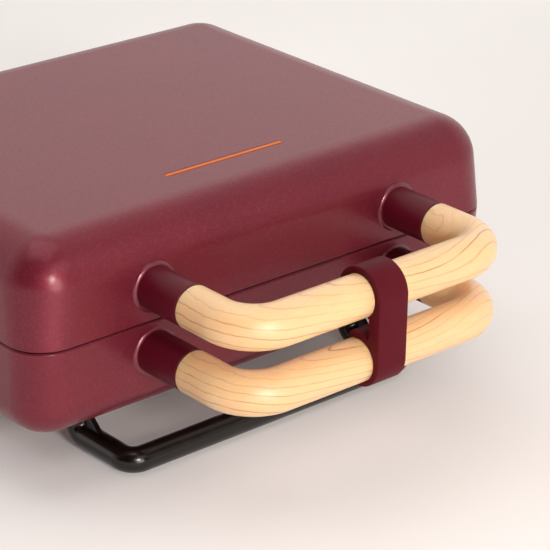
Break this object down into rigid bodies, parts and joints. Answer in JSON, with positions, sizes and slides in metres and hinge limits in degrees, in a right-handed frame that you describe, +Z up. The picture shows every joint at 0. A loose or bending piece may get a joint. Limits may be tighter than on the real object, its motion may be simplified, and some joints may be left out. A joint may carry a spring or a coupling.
{
  "type": "sandwich maker",
  "caption": "Countertop sandwich maker: two hinged painted half shells over twin-pocket plates, U-shaped wooden grips, a swinging latch clip and tube foot frames.",
  "frame": {"origin": "centre of the whole object's footprint, on the table", "axes": "+X to the user's right, +Y to the rear hinge, +Z up"},
  "size_m": [0.275, 0.3116, 0.1202],
  "materials": {
    "burgundy_shell": "satin burgundy paint with a very fine metallic grain",
    "burgundy_trim": "smooth satin plastic",
    "pale_wood": "clear matt oil over pale ash",
    "black_frame": "gloss black enamel",
    "black_plastic": "heat-resistant, fine matt texture",
    "coated_plate": "cast, under a dark non-stick coating",
    "steel": "bright zinc-plated steel",
    "heater_sheath": "heat-tinted sheath",
    "tray_sheet": "plain sheet",
    "orange_lens": "tinted clear plastic",
    "lamp": "diffused",
    "board": "circuit board",
    "ceramic_block": "unglazed",
    "wire_sleeve": "braided glass sleeve",
    "lead_sleeve": "matt",
    "foot_rubber": "matt"
  },
  "bodies": {
    "base": {"base_shell": "burgundy_shell", "base_knuckles": "black_frame", "hinge_pins": "steel", "hinge_lead": "lead_sleeve", "thermal_fuse": "ceramic_block", "cord_gland": "black_plastic", "bottom_cover": "black_plastic", "cover_screws": "steel", "front_foot_frame": "black_frame", "rear_foot_frame": "black_frame", "foot_pads": "foot_rubber", "foot_screws": "steel", "lower_bezel": "black_plastic", "lower_bezel_screws": "steel", "lower_plate": "coated_plate", "lower_plate_screws": "steel", "lower_heater": "heater_sheath", "lower_heater_clamps": "steel", "lower_reflector": "tray_sheet", "lower_thermostat": "steel", "lower_terminal_block": "ceramic_block", "lower_wires": "wire_sleeve", "lower_collars": "burgundy_trim", "lower_ferrules": "burgundy_trim", "lower_grip": "pale_wood", "lower_handle_bolts": "steel", "lower_hinge_screws": "steel"},
    "lid": {"lid_shell": "burgundy_shell", "lid_knuckles": "black_frame", "indicator_lens": "orange_lens", "lamp_board": "board", "lamp_board_screws": "steel", "lamps": "lamp", "indicator_wires": "wire_sleeve", "upper_bezel": "black_plastic", "upper_bezel_screws": "steel", "upper_plate": "coated_plate", "upper_plate_screws": "steel", "upper_heater": "heater_sheath", "upper_heater_clamps": "steel", "upper_reflector": "tray_sheet", "upper_thermostat": "steel", "upper_terminal_block": "ceramic_block", "upper_wires": "wire_sleeve", "upper_collars": "burgundy_trim", "upper_ferrules": "burgundy_trim", "upper_grip": "pale_wood", "upper_handle_bolts": "steel", "upper_hinge_screws": "steel"},
    "liner": {"clip_liner": "burgundy_trim"},
    "clip": {"latch_clip": "burgundy_trim", "clip_lips": "burgundy_trim"}
  },
  "joints": [
    {"name": "lid_hinge", "type": "hinge", "parent": "base", "child": "lid", "pos_m": [0, 0.1483, 0.0743], "axis": [-1, 0, 0], "range_deg": [0, 105], "deforming": ["clip_lips", "hinge_lead"]},
    {"name": "clip_slide", "type": "slide", "parent": "lid", "child": "liner", "axis": [1, 0, 0], "range_m": [-0.042, 0.044]},
    {"name": "clip_swing", "type": "hinge", "parent": "liner", "child": "clip", "pos_m": [-0.0012, -0.1425, 0.0902], "axis": [-1, 0, 0], "range_deg": [0, 100], "deforming": ["clip_lips"]}
  ]
}
